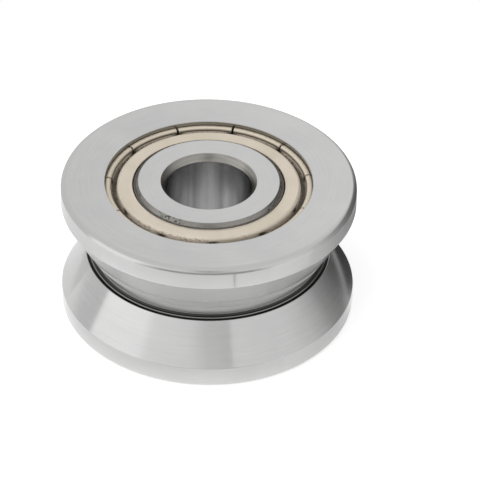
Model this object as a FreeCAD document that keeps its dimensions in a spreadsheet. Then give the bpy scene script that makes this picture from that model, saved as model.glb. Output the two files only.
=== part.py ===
import FreeCAD, Part
import math
import os
import re
import Sketcher

# A V groove track roller: one outer ring with a 120 degree groove, one inner ring,
# two rows of balls in crown cages, and a pressed steel shield in each face.
# It stands on its lower end face, with +Z along the bore. Millimetres and degrees.

doc = FreeCAD.newDocument("v_groove_wheel")

# How near two lengths in mm count as the same, and the least volume that a cut takes away
sameLength = 1e-4
leastVolume = 1e-6

# Driving dimensions
sizes = {
    "wheelDiameter": 41.0,
    "wheelWidth": 20.0,
    "rimBand": 3.05,
    "rimRound": 0.8,
    "lipBreak": 0.08,
    "veeAngle": 120.0,
    "reliefWidth": 2.3,
    "reliefDepth": 1.0,
    "reliefRound": 0.3,
    "boreDiameter": 12.0,
    "boreChamferWidth": 0.67,
    "boreChamferLength": 1.0,
    "edgeChamferWidth": 0.42,
    "edgeChamferLength": 0.55,
    "pitchDiameter": 23.5,
    "rowSetback": 5.6,
    "ballDiameter": 4.763,
    "ballsPerRow": 9,
    "racewayClearance": 0.015,
    "racewayEase": 0.1,
    "racewayDepth": 0.85,
    "cageClearance": 0.3,
    "pocketClearance": 0.04,
    "cageBack": 0.6,
    "cageRound": 0.25,
    "clawReach": 0.75,
    "webSlotWidth": 1.5,
    "webSlotHeight": 0.9,
    "seatLedge": 1.3,
    "mouthLip": 0.2,
    "lipClearance": 0.1,
    "sheetThickness": 0.3,
    "shieldSetback": 0.5,
    "shieldGap": 0.4,
    "shoulderBend": 0.15,
    "shoulderWall": 0.25,
    "channelWidth": 0.8,
    "channelClearance": 0.1,
    "curlBend": 0.2,
    "curlSetback": 0.55,
    "curlClearance": 0.08,
    "slitCount": 11,
    "slitWidth": 0.35,
    "slitPhase": 10.9,
}

# Sizes that follow from them. Heights are above the middle plane
followers = {
    "halfWidth": "wheelWidth / 2",
    "rimRadius": "wheelDiameter / 2",
    "flankRise": "tan((90 - veeAngle / 2) * 1deg)",
    "rootRadius": "rimRadius - (halfWidth - rimBand - reliefWidth / 2) * flankRise",
    "reliefCorner": "min(reliefRound; 0.9 * reliefDepth; 0.45 * reliefWidth)",
    "reliefFloor": "rootRadius - reliefDepth",
    "boreRadius": "boreDiameter / 2",
    "pitchRadius": "pitchDiameter / 2",
    "ballRadius": "ballDiameter / 2",
    "rowHeight": "halfWidth - rowSetback",
    "racewayRadius": "ballRadius + racewayEase",
    "innerContact": "pitchRadius - ballRadius - racewayClearance",
    "outerContact": "pitchRadius + ballRadius + racewayClearance",
    "innerLand": "innerContact + racewayDepth",
    "outerLand": "outerContact - racewayDepth",
    "pocketRadius": "ballRadius + pocketClearance",
    "cageInner": "innerLand + cageClearance",
    "cageOuter": "outerLand - cageClearance",
    "cageTop": "rowHeight + pocketRadius + cageBack",
    "cageFoot": "rowHeight - clawReach",
    "undercutRadius": "outerLand + seatLedge",
    "mouthRadius": "undercutRadius - mouthLip",
    "shieldInner": "innerLand + shieldGap",
    "shieldTop": "halfWidth - shieldSetback",
    "shoulderRound": "shoulderBend + sheetThickness",
    "shoulderLevel": "shieldTop - shoulderRound",
    "channelInner": "channelWidth / 2",
    "channelOuter": "channelInner + sheetThickness",
    "channelLevel": "shoulderLevel - shoulderWall",
    "seatHeight": "channelLevel - channelOuter - channelClearance",
    "seatDepth": "halfWidth - seatHeight",
    "curlRound": "curlBend + sheetThickness",
    "curlLevel": "halfWidth - curlSetback - curlRound",
    "curlCentre": "undercutRadius - curlClearance - curlRound",
    "mouthDepth": "curlSetback + lipClearance",
    "channelCentre": "curlCentre - curlRound - channelInner",
    "shoulderOuter": "channelCentre - channelInner",
    "shoulderStart": "shoulderOuter - shoulderRound",
}


def fillSheet():
    sheet = doc.addObject("Spreadsheet::Sheet", "Sizes")
    row = 1
    for alias, value in sizes.items():
        sheet.set(f"A{row}", alias)
        sheet.set(f"B{row}", str(value))
        sheet.setAlias(f"B{row}", alias)
        row += 1
    for alias, formula in followers.items():
        sheet.set(f"A{row}", alias)
        sheet.set(f"B{row}", "=" + formula)
        sheet.setAlias(f"B{row}", alias)
        row += 1
    doc.recompute()
    return sheet


sheet = fillSheet()


def tied(formula):
    """Writes each word of a formula that names a size as that cell of the sheet."""
    def cell(match):
        word = match.group(0)
        return "Sizes." + word if word in sizes or word in followers else word
    return re.sub(r"[A-Za-z]+", cell, formula)


def measure(formula):
    return float(sheet.evalExpression(tied(formula)))


def bind(item, slot, formula):
    item.setExpression(slot, tied(formula))


# Sketches
def originItem(body, role):
    return next(item for item in body.Origin.OriginFeatures if item.Role == role)


def addSketch(body, name, role):
    sketch = body.newObject("Sketcher::SketchObject", name)
    sketch.AttachmentSupport = [(originItem(body, role), "")]
    sketch.MapMode = "FlatFace"
    return sketch


def lockPoint(sketch, edge, end, across, up):
    for kind, formula in (("DistanceX", across), ("DistanceY", up)):
        value = measure(formula)
        rule = sketch.addConstraint(Sketcher.Constraint(kind, -1, 1, edge, end, value))
        bind(sketch, f"Constraints[{rule}]", formula)


def arcBetween(begin, finish, radius, turnsLeft):
    chord = finish - begin
    rise = math.sqrt(max(radius ** 2 - (chord.Length / 2) ** 2, 0.0))
    side = 1 if turnsLeft else -1
    normal = FreeCAD.Vector(-chord.y, chord.x, 0).normalize()
    centre = (begin + finish) * 0.5 + normal * rise * side
    first, last = (begin, finish) if turnsLeft else (finish, begin)
    firstAngle = math.atan2(first.y - centre.y, first.x - centre.x)
    lastAngle = math.atan2(last.y - centre.y, last.x - centre.x)
    if lastAngle < firstAngle:
        lastAngle += 2 * math.pi
    circle = Part.Circle(centre, FreeCAD.Vector(0, 0, 1), radius)
    return Part.ArcOfCircle(circle, firstAngle, lastAngle)


def drawOutline(sketch, steps):
    """Draws a closed outline from corner to corner. A step with a radius and a turn is an arc."""
    corners = [FreeCAD.Vector(measure(step[0]), measure(step[1]), 0) for step in steps]
    edges = []
    for index, step in enumerate(steps):
        begin, finish = corners[index - 1], corners[index]
        if len(step) == 2:
            edge = sketch.addGeometry(Part.LineSegment(begin, finish))
            edges.append((edge, 1, 2))
        else:
            turnsLeft = step[3] == "left"
            edge = sketch.addGeometry(arcBetween(begin, finish, measure(step[2]), turnsLeft))
            rule = sketch.addConstraint(Sketcher.Constraint("Radius", edge, measure(step[2])))
            bind(sketch, f"Constraints[{rule}]", step[2])
            edges.append((edge, 1, 2) if turnsLeft else (edge, 2, 1))
    for index, step in enumerate(steps):
        edge, _, end = edges[index]
        following, start, _ = edges[(index + 1) % len(edges)]
        sketch.addConstraint(Sketcher.Constraint("Coincident", edge, end, following, start))
        lockPoint(sketch, edge, end, step[0], step[1])


def drawCircle(sketch, across, up, radius):
    centre = FreeCAD.Vector(measure(across), measure(up), 0)
    circle = Part.Circle(centre, FreeCAD.Vector(0, 0, 1), measure(radius))
    edge = sketch.addGeometry(circle)
    rule = sketch.addConstraint(Sketcher.Constraint("Radius", edge, measure(radius)))
    bind(sketch, f"Constraints[{rule}]", radius)
    lockPoint(sketch, edge, 3, across, up)


# Features
def turnProfile(body, name, outlines=(), circles=(), cut=False):
    """Revolves a section about the bore's axis, as added or as removed metal."""
    before = body.Tip
    sketch = addSketch(body, name + "_section", "XZ_Plane")
    for steps in outlines:
        drawOutline(sketch, steps)
    for circle in circles:
        drawCircle(sketch, *circle)
    feature = body.newObject("PartDesign::Groove" if cut else "PartDesign::Revolution", name)
    feature.Profile = sketch
    feature.ReferenceAxis = (sketch, ["V_Axis"])
    feature.Angle = 360.0
    finishFeature(body, feature, before)
    return feature


def finishFeature(body, feature, before=None):
    body.Tip = feature
    doc.recompute()
    if before is not None and abs(feature.Shape.Volume - before.Shape.Volume) < leastVolume:
        raise RuntimeError(feature.Name + " changed nothing")


def edgesAt(shape, places):
    """Names the round edges that lie at the given radii and heights."""
    found = []
    for number, edge in enumerate(shape.Edges, start=1):
        if not isinstance(edge.Curve, Part.Circle):
            continue
        for radius, height in places:
            widthOff = abs(edge.Curve.Radius - radius)
            heightOff = abs(edge.Curve.Center.z - height)
            if max(widthOff, heightOff) < sameLength:
                found.append(f"Edge{number}")
    return found


def dressEdges(body, kind, name, places, sizeName):
    """Adds a fillet or a chamfer on round edges, its size tied to the sheet."""
    base = body.Tip
    feature = body.newObject("PartDesign::" + kind, name)
    feature.Base = (base, edgesAt(base.Shape, places))
    bind(feature, "Radius" if kind == "Fillet" else "Size", sizeName)
    finishFeature(body, feature, base)


def cutUpwards(body, name, outline, turn, height=None):
    """Cuts an outline drawn on the middle plane upwards, right through or to a height."""
    before = body.Tip
    sketch = addSketch(body, name + "_outline", "XY_Plane")
    drawOutline(sketch, outline)
    bind(sketch, "AttachmentOffset.Rotation.Angle", turn)
    pocket = body.newObject("PartDesign::Pocket", name)
    pocket.Profile = sketch
    pocket.Reversed = True
    pocket.Type = "ThroughAll" if height is None else "Length"
    if height is not None:
        bind(pocket, "Length", height)
    finishFeature(body, pocket, before)
    return pocket


def cutSphere(body, name, radius, across, up):
    before = body.Tip
    sphere = body.newObject("PartDesign::SubtractiveSphere", name)
    sphere.AttachmentSupport = [(originItem(body, "XY_Plane"), "")]
    sphere.MapMode = "FlatFace"
    bind(sphere, "Radius", radius)
    bind(sphere, "AttachmentOffset.Base.x", across)
    bind(sphere, "AttachmentOffset.Base.z", up)
    finishFeature(body, sphere, before)
    return sphere


def repeatAround(body, name, originals, count):
    before = body.Tip
    pattern = body.newObject("PartDesign::PolarPattern", name)
    pattern.Originals = originals
    pattern.Axis = (originItem(body, "Z_Axis"), [""])
    pattern.Angle = 360.0
    bind(pattern, "Occurrences", count)
    finishFeature(body, pattern, before)


def newBody(name, label):
    body = doc.addObject("PartDesign::Body", name)
    body.Label = label
    return body


def placeAtMiddle(body, flipped):
    """Stands a piece on the wheel's middle plane, and turns the lower one over about X."""
    turn = FreeCAD.Rotation(FreeCAD.Vector(1, 0, 0), 180.0 if flipped else 0.0)
    body.Placement = FreeCAD.Placement(FreeCAD.Vector(0, 0, measure("halfWidth")), turn)
    bind(body, "Placement.Base.z", "halfWidth")


# Outer ring: rim with the V groove, relief at its root, two raceways, a shield seat in each face
def makeOuterRing():
    body = newBody("OuterRing", "outer_ring")
    blank = [
        ("outerLand", "0"),
        ("rimRadius", "0"),
        ("rimRadius", "wheelWidth"),
        ("outerLand", "wheelWidth"),
    ]
    turnProfile(body, "rim_blank", [blank])
    vee = [
        ("rimRadius", "rimBand"),
        ("rimRadius + rimBand", "rimBand"),
        ("rimRadius + rimBand", "wheelWidth - rimBand"),
        ("rimRadius", "wheelWidth - rimBand"),
        ("rootRadius", "halfWidth + reliefWidth / 2"),
        ("reliefFloor + reliefCorner", "halfWidth + reliefWidth / 2"),
        ("reliefFloor", "halfWidth + reliefWidth / 2 - reliefCorner", "reliefCorner", "left"),
        ("reliefFloor", "halfWidth - reliefWidth / 2 + reliefCorner"),
        ("reliefFloor + reliefCorner", "halfWidth - reliefWidth / 2", "reliefCorner", "left"),
        ("rootRadius", "halfWidth - reliefWidth / 2"),
    ]
    turnProfile(body, "vee_groove", [vee], cut=True)
    raceways = [
        ("outerContact - racewayRadius", "rowSetback", "racewayRadius"),
        ("outerContact - racewayRadius", "wheelWidth - rowSetback", "racewayRadius"),
    ]
    turnProfile(body, "outer_raceways", circles=raceways, cut=True)
    lowerSeat = [
        ("outerLand - seatDepth", "0"),
        ("mouthRadius", "0"),
        ("mouthRadius", "mouthDepth"),
        ("undercutRadius", "mouthDepth"),
        ("undercutRadius", "seatDepth"),
        ("outerLand - seatDepth", "seatDepth"),
    ]
    upperSeat = [(across, "wheelWidth - " + up) for across, up in lowerSeat]
    turnProfile(body, "shield_seats", [lowerSeat, upperSeat], cut=True)
    rim, width = measure("rimRadius"), measure("wheelWidth")
    band = measure("rimBand")
    dressEdges(body, "Fillet", "rim_rounds", [(rim, 0.0), (rim, width)], "rimRound")
    dressEdges(body, "Chamfer", "lip_breaks", [(rim, band), (rim, width - band)], "lipBreak")
    return body


# Inner ring: plain bore with deep lead-in chamfers and two raceways in one piece
def makeInnerRing():
    body = newBody("InnerRing", "inner_ring")
    blank = [
        ("boreRadius", "boreChamferLength"),
        ("boreRadius + boreChamferWidth", "0"),
        ("innerLand - edgeChamferWidth", "0"),
        ("innerLand", "edgeChamferLength"),
        ("innerLand", "wheelWidth - edgeChamferLength"),
        ("innerLand - edgeChamferWidth", "wheelWidth"),
        ("boreRadius + boreChamferWidth", "wheelWidth"),
        ("boreRadius", "wheelWidth - boreChamferLength"),
    ]
    turnProfile(body, "sleeve", [blank])
    raceways = [
        ("innerContact + racewayRadius", "rowSetback", "racewayRadius"),
        ("innerContact + racewayRadius", "wheelWidth - rowSetback", "racewayRadius"),
    ]
    turnProfile(body, "inner_raceways", circles=raceways, cut=True)
    return body


# Shield: flat annulus, shoulder, channel and a curled rim that is slit to spring into its seat
def makeShield(label, flipped):
    body = newBody(label.title().replace("_", ""), label)
    pressed = [
        ("shieldInner", "shieldTop"),
        ("shieldInner", "shieldTop - sheetThickness"),
        ("shoulderStart", "shieldTop - sheetThickness"),
        ("shoulderStart + shoulderBend", "shoulderLevel", "shoulderBend", "right"),
        ("shoulderOuter - sheetThickness", "channelLevel"),
        ("channelCentre", "channelLevel - channelOuter", "channelOuter", "left"),
        ("channelCentre + channelOuter", "channelLevel", "channelOuter", "left"),
        ("curlCentre - curlBend", "curlLevel"),
        ("curlCentre", "curlLevel + curlBend", "curlBend", "right"),
        ("curlCentre + curlBend", "curlLevel", "curlBend", "right"),
        ("curlCentre + curlBend", "seatHeight"),
        ("curlCentre + curlRound", "seatHeight"),
        ("curlCentre + curlRound", "curlLevel"),
        ("curlCentre", "curlLevel + curlRound", "curlRound", "left"),
        ("curlCentre - curlRound", "curlLevel", "curlRound", "left"),
        ("channelCentre + channelInner", "channelLevel"),
        ("channelCentre", "channelLevel - channelInner", "channelInner", "right"),
        ("shoulderOuter", "channelLevel", "channelInner", "right"),
        ("shoulderOuter", "shoulderLevel"),
        ("shoulderStart", "shieldTop", "shoulderRound", "left"),
    ]
    turnProfile(body, "pressing", [pressed])
    slit = [
        ("curlCentre - curlRound", "-slitWidth / 2"),
        ("undercutRadius", "-slitWidth / 2"),
        ("undercutRadius", "slitWidth / 2"),
        ("curlCentre - curlRound", "slitWidth / 2"),
    ]
    turn = "-slitPhase * 1deg" if flipped else "slitPhase * 1deg"
    cut = cutUpwards(body, "rim_slit", slit, turn)
    repeatAround(body, "rim_slits", [cut], "slitCount")
    placeAtMiddle(body, flipped)
    return body


# Crown cage: a ring behind the balls with open pockets that snap round them
def makeCage(label, flipped):
    body = newBody(label.title().replace("_", ""), label)
    ring = [
        ("cageInner", "cageFoot"),
        ("cageOuter", "cageFoot"),
        ("cageOuter", "cageTop"),
        ("cageInner", "cageTop"),
    ]
    turnProfile(body, "crown_blank", [ring])
    inner, outer, top = measure("cageInner"), measure("cageOuter"), measure("cageTop")
    dressEdges(body, "Fillet", "back_rounds", [(inner, top), (outer, top)], "cageRound")
    pocket = cutSphere(body, "ball_pocket", "pocketRadius", "pitchRadius", "rowHeight")
    repeatAround(body, "ball_pockets", [pocket], "ballsPerRow")
    slot = [
        ("cageInner - cageClearance", "-webSlotWidth / 2"),
        ("cageOuter + cageClearance", "-webSlotWidth / 2"),
        ("cageOuter + cageClearance", "webSlotWidth / 2"),
        ("cageInner - cageClearance", "webSlotWidth / 2"),
    ]
    cut = cutUpwards(body, "web_slot", slot, "180deg / ballsPerRow", "rowHeight + webSlotHeight")
    repeatAround(body, "web_slots", [cut], "ballsPerRow")
    placeAtMiddle(body, flipped)
    return body


# Balls: one row of bearing balls at the pitch radius, the first on the X axis
def makeRow(side, direction):
    balls = []
    for number in range(sizes["ballsPerRow"]):
        ball = doc.addObject("Part::Sphere", f"{side}Ball{number + 1}")
        ball.Label = f"{side}_ball_{number + 1}"
        bind(ball, "Radius", "ballRadius")
        turn = f"{number} * 360deg / ballsPerRow"
        bind(ball, "Placement.Base.x", f"pitchRadius * cos({turn})")
        bind(ball, "Placement.Base.y", f"pitchRadius * sin({turn})")
        bind(ball, "Placement.Base.z", f"halfWidth {direction} rowHeight")
        balls.append(ball)
    return balls


def checkPieces(pieces):
    for item in doc.Objects:
        if "Invalid" in item.State or "Error" in item.State:
            raise RuntimeError(item.Name + " failed: " + ", ".join(item.State))
    for piece in pieces:
        if piece.Shape.isNull() or not piece.Shape.isValid() or len(piece.Shape.Solids) != 1:
            raise RuntimeError(piece.Label + " is not one valid solid")


def exportPieces(pieces):
    os.makedirs("parts", exist_ok=True)
    for piece in pieces:
        piece.Shape.exportStep(f"parts/{piece.Label}.step")


def main():
    pieces = [makeOuterRing(), makeInnerRing()]
    for side, flipped, direction in (("upper", False, "+"), ("lower", True, "-")):
        pieces.append(makeShield(side + "_shield", flipped))
        pieces.append(makeCage(side + "_cage", flipped))
        pieces.extend(makeRow(side, direction))
    doc.recompute()
    checkPieces(pieces)
    exportPieces(pieces)
    for piece in pieces:
        print(piece.Label, round(piece.Shape.Volume, 2), "mm3")


main()
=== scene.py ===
import math

import bmesh
import bpy
from mathutils import Matrix, Vector


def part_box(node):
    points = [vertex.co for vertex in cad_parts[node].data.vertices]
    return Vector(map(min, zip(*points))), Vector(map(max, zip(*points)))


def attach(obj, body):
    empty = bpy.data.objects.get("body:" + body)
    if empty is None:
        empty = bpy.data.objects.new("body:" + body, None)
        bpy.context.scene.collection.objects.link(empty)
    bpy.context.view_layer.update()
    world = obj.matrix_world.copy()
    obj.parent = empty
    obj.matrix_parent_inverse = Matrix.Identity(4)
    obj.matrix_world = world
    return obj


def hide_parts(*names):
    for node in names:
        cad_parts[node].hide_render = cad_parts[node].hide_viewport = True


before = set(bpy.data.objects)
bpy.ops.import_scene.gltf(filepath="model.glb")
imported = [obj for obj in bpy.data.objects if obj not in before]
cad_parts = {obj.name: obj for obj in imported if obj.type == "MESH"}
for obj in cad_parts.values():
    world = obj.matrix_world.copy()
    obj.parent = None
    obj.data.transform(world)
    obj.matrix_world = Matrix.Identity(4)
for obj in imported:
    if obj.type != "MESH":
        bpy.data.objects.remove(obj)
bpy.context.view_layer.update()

# V groove track roller: two ground steel rings, pale zinc shields, hidden balls and cages.
# Lengths in the dictionaries are millimetres and angles are degrees.
mm = 0.001
sameSpot = 0.0005       # mm, points nearer than this are one
nearCorner = 0.005      # mm, how close a point lies to the corner that names it
axisUp = Vector((0, 0, 1))

ringLow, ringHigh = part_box("outer_ring")
ballLow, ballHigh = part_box("upper_ball_1")
rimRadius = ringHigh.x / mm
halfWidth = (ringHigh.z - ringLow.z) / 2 / mm
ballRadius = (ballHigh.z - ballLow.z) / 2 / mm
pitchRadius = (ballHigh.x + ballLow.x) / 2 / mm
rowHeight = (ballHigh.z + ballLow.z) / 2 / mm - halfWidth   # above the middle plane

raceway = {
    "radius": ballRadius + 0.1,
    "play": 0.015,          # between a ball and the track at rest
    "depth": 0.85,
}
innerContact = pitchRadius - ballRadius - raceway["play"]
outerContact = pitchRadius + ballRadius + raceway["play"]
innerLand = innerContact + raceway["depth"]
outerLand = outerContact - raceway["depth"]
racewayAngle = math.degrees(math.acos(1 - raceway["depth"] / raceway["radius"]))
racewayChord = raceway["radius"] * math.sin(math.radians(racewayAngle))
print("frame read: rim radius", round(rimRadius, 3), "half width", round(halfWidth, 3))


# Modelling by hand: a section is drawn point by point on the XZ plane, then turned about Z
def startSection(name, across, up):
    bpy.ops.object.select_all(action="DESELECT")
    bpy.ops.mesh.primitive_plane_add(size=mm)
    piece = bpy.context.object
    piece.name = name
    piece.data.name = name
    bpy.ops.object.mode_set(mode="EDIT")
    bpy.ops.mesh.select_mode(type="VERT")
    bpy.ops.mesh.merge(type="CENTER")
    bpy.ops.transform.translate(value=(across * mm, 0, up * mm))
    return piece


def drawSection(name, start, steps, arcSteps=14):
    # a step is (across, up) for a straight run, or (centre across, centre up, angle) for an arc
    piece = startSection(name, *start)
    place = Vector((start[0], 0, start[1]))
    for step in steps:
        if len(step) == 2:
            target = Vector((step[0], 0, step[1]))
            bpy.ops.mesh.extrude_region_move(TRANSFORM_OT_translate={"value": (target - place) * mm})
        else:
            centre = Vector((step[0], 0, step[1]))
            bpy.ops.mesh.spin(
                steps=arcSteps, angle=math.radians(step[2]), center=centre * mm, axis=(0, 1, 0),
            )
            target = centre + Matrix.Rotation(-math.radians(step[2]), 3, "Y") @ (place - centre)
        place = target
    return piece


def selectWhere(kind, wanted):
    # kind is verts, edges or faces, and wanted is asked about the middle of each in millimetres
    modes = {"verts": "VERT", "edges": "EDGE", "faces": "FACE"}
    bpy.ops.mesh.select_mode(type=modes[kind])
    bpy.ops.mesh.select_all(action="DESELECT")
    shape = bmesh.from_edit_mesh(bpy.context.object.data)
    for part in getattr(shape, kind):
        corners = [part] if kind == "verts" else part.verts
        middle = sum((corner.co for corner in corners), Vector()) / len(corners) / mm
        part.select_set(wanted(middle))
    bmesh.update_edit_mesh(bpy.context.object.data)


def roundCorners(corners, width, segments):
    # corners are (across, up) points of the section
    def wanted(middle):
        return any(math.hypot(middle.x - x, middle.z - z) < nearCorner for x, z in corners)
    selectWhere("verts", wanted)
    bpy.ops.mesh.bevel(offset=width * mm, segments=segments, affect="VERTICES", clamp_overlap=False)


def turnSection(turnSteps):
    bpy.ops.mesh.select_mode(type="VERT")
    bpy.ops.mesh.select_all(action="SELECT")
    bpy.ops.mesh.spin(steps=turnSteps, angle=2 * math.pi, center=(0, 0, 0), axis=(0, 0, 1))
    bpy.ops.mesh.select_all(action="SELECT")
    bpy.ops.mesh.remove_doubles(threshold=sameSpot * mm)
    bpy.ops.mesh.normals_make_consistent(inside=False)


def mirrorAndRaise(piece):
    # the section is half of a ring: the other half is its mirror image below the middle plane
    bpy.ops.object.mode_set(mode="OBJECT")
    bpy.ops.object.modifier_add(type="MIRROR")
    mirror = piece.modifiers[-1]
    mirror.use_axis = (False, False, True)
    mirror.merge_threshold = sameSpot * mm
    bpy.ops.object.modifier_apply(modifier=mirror.name)
    bpy.ops.object.mode_set(mode="EDIT")
    bpy.ops.mesh.select_all(action="SELECT")
    bpy.ops.mesh.remove_doubles(threshold=sameSpot * mm)
    bpy.ops.mesh.normals_make_consistent(inside=False)
    bpy.ops.transform.translate(value=(0, 0, halfWidth * mm))
    bpy.ops.object.mode_set(mode="OBJECT")


def finishPiece(piece, body, node, smoothBelow=28):
    bpy.ops.object.select_all(action="DESELECT")
    piece.select_set(True)
    bpy.context.view_layer.objects.active = piece
    bpy.ops.object.shade_smooth_by_angle(angle=math.radians(smoothBelow))
    bpy.ops.object.modifier_add(type="WEIGHTED_NORMAL")
    piece.modifiers[-1].keep_sharp = True
    bpy.ops.object.modifier_apply(modifier=piece.modifiers[-1].name)
    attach(piece, body)
    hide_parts(node)
    print("made", piece.name, "with", len(piece.data.polygons), "faces")


# Materials. A node's sockets go by name or by place: Map Range takes its value at 0, the old range
# at 1 and 2 and the new one at 3 and 4, and Mix takes its two colours at 6 and 7
noiseLow, noiseHigh = 0.3, 0.7      # nearly all of the noise lies between these


def fromHex(code):
    # sRGB hex to the linear colour that a shader wants
    parts = [int(code[i:i + 2], 16) / 255 for i in (0, 2, 4)]
    return [c / 12.92 if c <= 0.04045 else ((c + 0.055) / 1.055) ** 2.4 for c in parts] + [1.0]


def setInputs(tree, node, inputs):
    # each socket gets a value or another node's output
    for socket, value in inputs.items():
        if isinstance(value, bpy.types.NodeSocket):
            tree.links.new(value, node.inputs[socket])
        else:
            node.inputs[socket].default_value = value


def addNode(tree, kind, inputs, **settings):
    # the new node's first live output comes back
    node = tree.nodes.new("ShaderNode" + kind)
    for name, value in settings.items():
        setattr(node, name, value)
    setInputs(tree, node, inputs)
    live = [output for output in node.outputs if output.enabled]
    return live[0] if live else node


def startMaterial(name):
    material = bpy.data.materials.new(name)
    material.use_nodes = True
    return material, material.node_tree, material.node_tree.nodes["Principled BSDF"]


def readPlace(tree):
    # the place on the object in mm, and from it the way out from the axis, the radius, the turn in
    # radians and the height off the middle plane
    place = addNode(tree, "TexCoord", {}).node.outputs["Object"]
    place = addNode(tree, "VectorMath", {0: place, 3: 1 / mm}, operation="SCALE")
    flat = addNode(tree, "VectorMath", {0: place, 1: (1, 1, 0)}, operation="MULTIPLY")
    radius = addNode(tree, "VectorMath", {0: flat}, operation="LENGTH").node.outputs["Value"]
    parts = addNode(tree, "SeparateXYZ", {0: place}).node.outputs
    turn = addNode(tree, "Math", {0: parts["Y"], 1: parts["X"]}, operation="ARCTAN2")
    height = addNode(tree, "Math", {0: parts["Z"], 1: halfWidth}, operation="SUBTRACT")
    height = addNode(tree, "Math", {0: height}, operation="ABSOLUTE")
    return {"point": place, "outward": flat, "radius": radius, "turn": turn, "height": height}


def turnedMarks(tree, spacing, streaks):
    # noise drawn out round the axis, as a wheel or a tool leaves it; spacing is in mm
    place = readPlace(tree)
    outward = addNode(tree, "VectorMath", {0: place["outward"]}, operation="NORMALIZE")
    parts = addNode(tree, "SeparateXYZ", {0: outward}).node.outputs
    across = addNode(tree, "CombineXYZ", {
        0: addNode(tree, "Math", {0: place["radius"], 1: spacing}, operation="DIVIDE"),
        1: addNode(tree, "Math", {0: place["height"], 1: spacing}, operation="DIVIDE"),
        2: addNode(tree, "Math", {0: parts["X"], 1: streaks}, operation="MULTIPLY"),
    })
    along = addNode(tree, "Math", {0: parts["Y"], 1: streaks}, operation="MULTIPLY")
    return addNode(tree, "TexNoise", {
        "Vector": across, "W": along, "Scale": 1.0, "Detail": 3.0, "Roughness": 0.6,
    }, noise_dimensions="4D")


def stretchHighlight(tree, shader, amount):
    # marks that run round the axis draw a highlight out across them, a quarter turn from the tangent
    place = addNode(tree, "TexCoord", {}).node.outputs["Object"]
    along = addNode(tree, "VectorMath", {0: tuple(axisUp), 1: place}, operation="CROSS_PRODUCT")
    along = addNode(
        tree, "VectorTransform", {0: along},
        vector_type="VECTOR", convert_from="OBJECT", convert_to="WORLD",
    )
    setInputs(tree, shader, {"Tangent": along, "Anisotropic": amount, "Anisotropic Rotation": 0.25})


def finishMaterial(tree, shader, colour, roughness, relief, depth, metallic):
    # relief is a pattern from 0 to 1, depth its height in mm
    bump = addNode(tree, "Bump", {"Height": relief, "Distance": depth * mm, "Strength": 1.0})
    setInputs(tree, shader, {
        "Base Color": colour, "Roughness": roughness, "Normal": bump, "Metallic": metallic,
    })


# Ground bearing steel: fine wheel marks run round the axis and draw the reflections out across
# them. The tumbled corners of the rim are duller, and so is the run-out at the root of the
# upper flank
def makeGroundSteel():
    look = {
        "dark": "C6C6C6", "light": "CECECD", "corner": "CCCCCB",
        "spacing": 0.25, "streaks": 3.0, "cloudSize": 6.0, "depth": 0.0002,
        "toneFrom": 0.7, "toneTo": 1.3,             # of the marks and the clouds together
        "cornerStart": 1.0, "cornerFull": 0.6,      # mm from the rim and from the face
        "runOutFull": 1.15, "runOutEnd": 1.8,       # mm from the relief's upper edge along the axis
        "roughness": (0.14, 0.17), "cornerRoughness": 0.24, "runOutRoughness": 0.42,
        "stretch": 0.7,
    }
    material, tree, shader = startMaterial("ground bearing steel")
    place = readPlace(tree)
    marks = turnedMarks(tree, look["spacing"], look["streaks"])
    clouds = addNode(tree, "TexNoise", {"Vector": place["point"], "Scale": 1 / look["cloudSize"]})
    tone = addNode(tree, "Math", {0: marks, 1: clouds}, operation="ADD")
    tone = addNode(tree, "MapRange", {0: tone, 1: look["toneFrom"], 2: look["toneTo"]})
    clean = addNode(tree, "Mix", {
        "Factor": tone, 6: fromHex(look["dark"]), 7: fromHex(look["light"]),
    }, data_type="RGBA")
    nearRim = addNode(tree, "MapRange", {
        0: place["radius"], 1: rimRadius - look["cornerStart"], 2: rimRadius - look["cornerFull"],
    }, interpolation_type="SMOOTHSTEP")
    nearFace = addNode(tree, "MapRange", {
        0: place["height"], 1: halfWidth - look["cornerStart"], 2: halfWidth - look["cornerFull"],
    }, interpolation_type="SMOOTHSTEP")
    corner = addNode(tree, "Math", {0: nearRim, 1: nearFace}, operation="MULTIPLY")
    colour = addNode(tree, "Mix", {
        "Factor": corner, 6: clean, 7: fromHex(look["corner"]),
    }, data_type="RGBA")
    smooth, rough = look["roughness"]
    roughness = addNode(tree, "MapRange", {0: marks, 1: noiseLow, 2: noiseHigh, 3: smooth, 4: rough})
    roughness = addNode(tree, "MapRange", {0: corner, 3: roughness, 4: look["cornerRoughness"]})
    upperEdge = halfWidth + outerRing["reliefWidth"] / 2
    along = addNode(tree, "SeparateXYZ", {0: place["point"]}).node.outputs["Z"]
    along = addNode(tree, "Math", {0: along, 1: upperEdge}, operation="SUBTRACT")
    along = addNode(tree, "Math", {0: along}, operation="ABSOLUTE")
    runOut = addNode(tree, "MapRange", {
        0: along, 1: look["runOutFull"], 2: look["runOutEnd"], 3: 1.0, 4: 0.0,
    })
    roughness = addNode(tree, "MapRange", {0: runOut, 3: roughness, 4: look["runOutRoughness"]})
    finishMaterial(tree, shader, colour, roughness, marks, look["depth"], 1.0)
    stretchHighlight(tree, shader, look["stretch"])
    return material


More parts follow.
